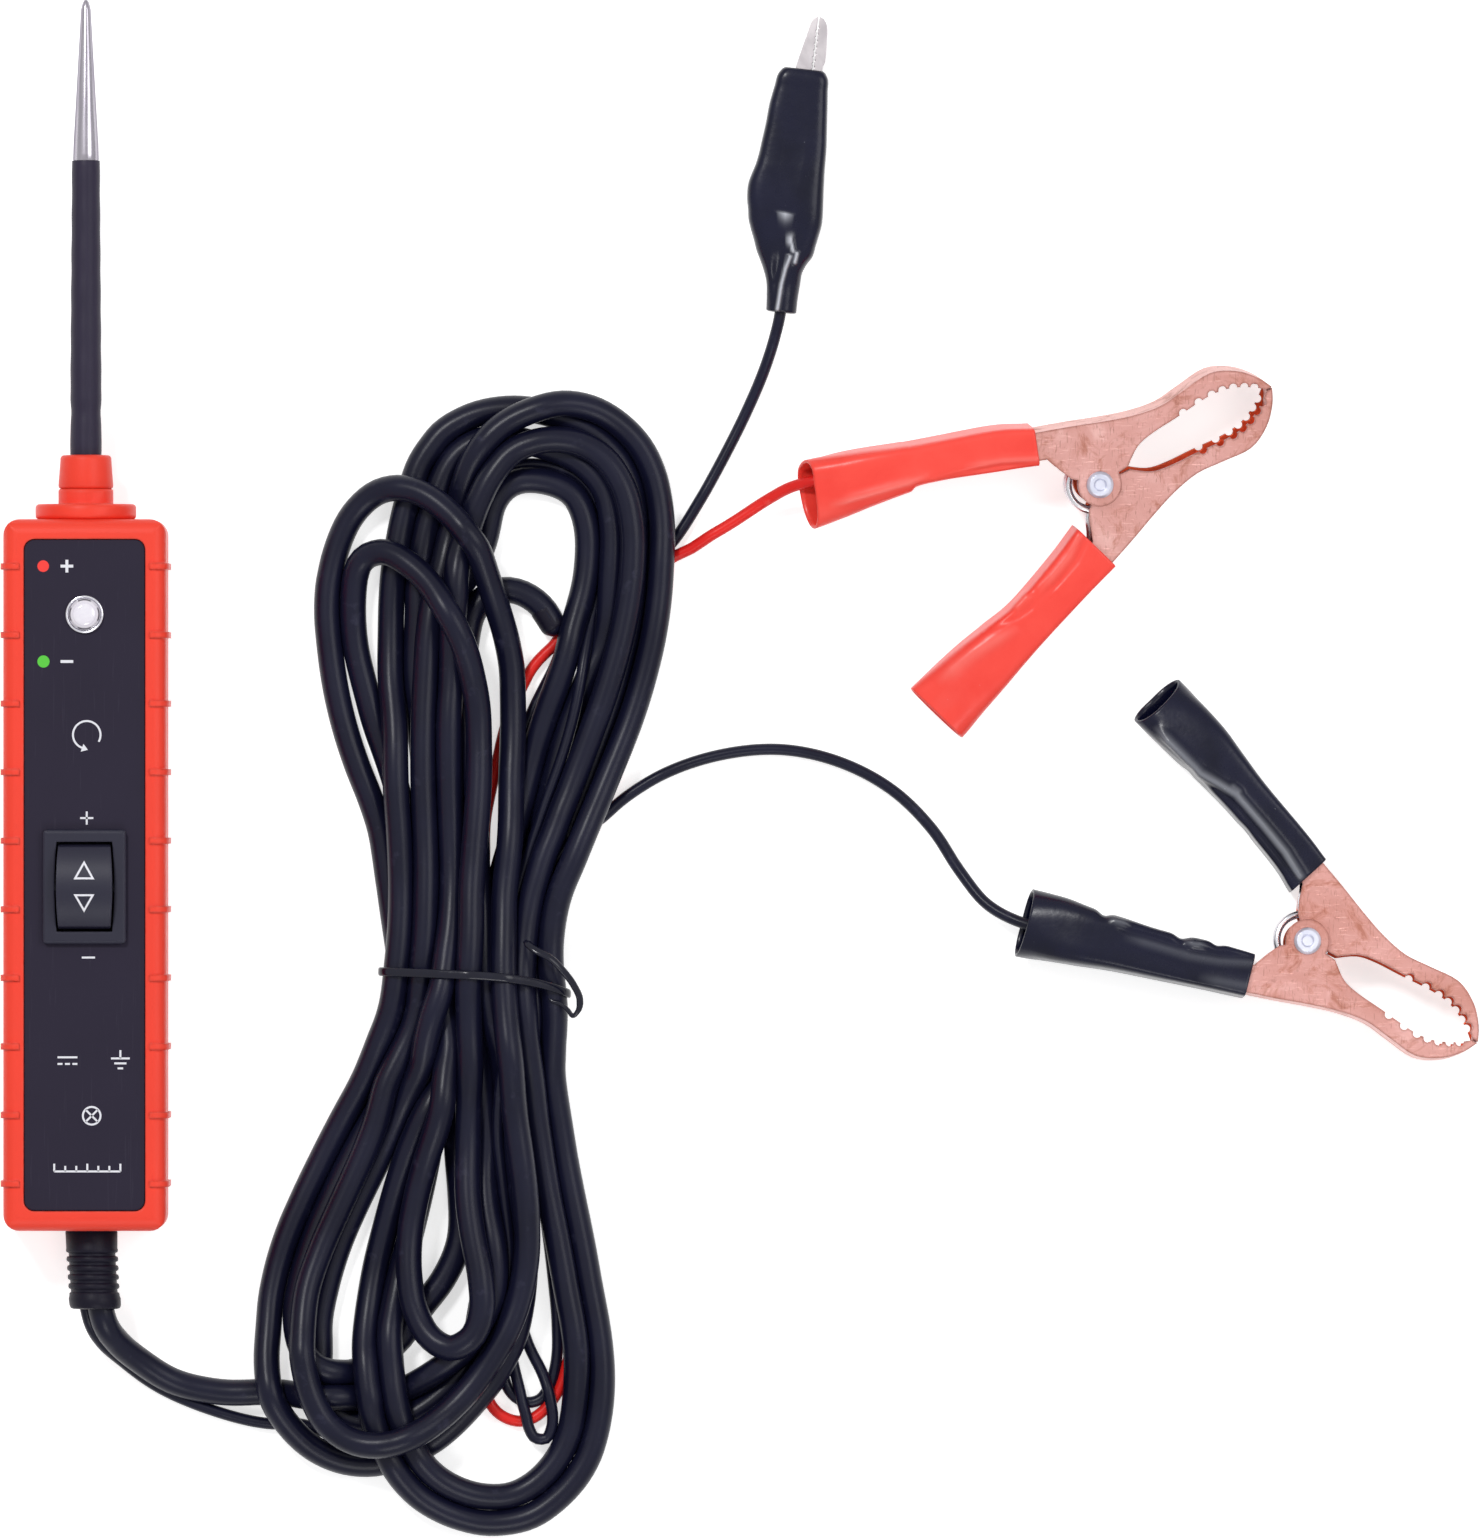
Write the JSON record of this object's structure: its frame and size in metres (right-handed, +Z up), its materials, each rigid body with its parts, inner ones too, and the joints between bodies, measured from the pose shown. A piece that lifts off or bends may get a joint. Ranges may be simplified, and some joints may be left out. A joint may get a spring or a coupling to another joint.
{
  "type": "automotive circuit tester",
  "caption": "Hand-held circuit tester with a probe, rocker switch and lamp, on a hank of cable with two copper battery clips and an alligator clip.",
  "frame": {"origin": "under the middle of the hand-held probe, on the surface that it lies on", "axes": "+X across the probe towards its cables and clips, +Y along the probe to its tip, +Z up from the surface, out of the front panel"},
  "size_m": [0.2685, 0.2785, 0.0259],
  "materials": {
    "housing_red": "fine moulded texture, satin",
    "panel_dark": "printed panel, satin, bare of print",
    "black_plastic": "moulded black plastic",
    "switch_black": "moulded black plastic, semi-gloss",
    "sleeve_black": "shrunk-on insulating sleeve",
    "steel": "plated steel",
    "copper": "copper-plated sheet with brown stains",
    "brass": "plain brass",
    "red_rubber": "soft plastic sleeve, semi-gloss",
    "black_rubber": "soft plastic sleeve, semi-gloss",
    "cable_black": "cable jacket, satin",
    "cable_red": "wire insulation, satin",
    "tie_black": "plastic-coated wire",
    "lens": "clear lens",
    "ring": "moulded ring",
    "board_green": "solder mask",
    "breaker_brown": "moulded phenolic"
  },
  "bodies": {
    "root": {"front_shell": "housing_red", "rear_shell": "housing_red", "front_panel": "panel_dark", "switch_body": "black_plastic", "switch_terminals": "brass", "lamp_holder": "ring", "lamp": "lens", "circuit_board": "board_green", "probe_contact": "brass", "circuit_breaker": "breaker_brown", "nose_flange": "housing_red", "probe_collar": "housing_red", "probe_rod": "steel", "probe_sleeve": "sleeve_black", "strain_relief": "black_rubber", "case_screws": "steel", "inner_leads": "cable_red", "main_cable": "cable_black", "ground_tail": "cable_black", "cable_hank": "cable_black", "cable_tie": "tie_black", "red_lead": "cable_red", "black_lead": "cable_black", "ground_lead": "cable_black", "gator_fixed_jaw": "steel", "gator_pin": "steel", "gator_spring": "steel", "gator_boot": "black_rubber", "red_wire_jaw": "copper", "red_rivet": "steel", "red_spring": "steel", "red_wire_grip": "red_rubber", "black_wire_jaw": "copper", "black_rivet": "steel", "black_spring": "steel", "black_wire_grip": "black_rubber"},
    "rocker": {"switch_rocker": "switch_black"},
    "red_lever": {"red_lever_jaw": "copper", "red_lever_grip": "red_rubber"},
    "black_lever": {"black_lever_jaw": "copper", "black_lever_grip": "black_rubber"},
    "gator_lever": {"gator_lever_jaw": "steel"}
  },
  "joints": [
    {"name": "rocker_tilt", "type": "hinge", "parent": "root", "child": "rocker", "pos_m": [0, -0.04225, 0.02075], "axis": [1, 0, 0], "range_deg": [-7, 7], "stiffness_Nm_per_rad": 0.004},
    {"name": "red_clip_open", "type": "hinge", "parent": "root", "child": "red_lever", "pos_m": [0.1838, 0.0313, 0.0071], "axis": [-0.0942, 0.0967, -0.9908], "range_deg": [0, 30], "stiffness_Nm_per_rad": 0.5, "springref_deg": -34.38, "deforming": ["red_spring"]},
    {"name": "black_clip_open", "type": "hinge", "parent": "root", "child": "black_lever", "pos_m": [0.2219, -0.0524, 0.0065], "axis": [0.0268, 0.045, 0.9986], "range_deg": [0, 30], "stiffness_Nm_per_rad": 0.5, "springref_deg": -34.38, "deforming": ["black_spring"]},
    {"name": "gator_open", "type": "hinge", "parent": "root", "child": "gator_lever", "pos_m": [0.1309, 0.0956, 0.0046], "axis": [0, 0, 1], "range_deg": [0, 20], "stiffness_Nm_per_rad": 0.02, "springref_deg": -28.65, "deforming": ["gator_spring", "gator_boot"]}
  ]
}
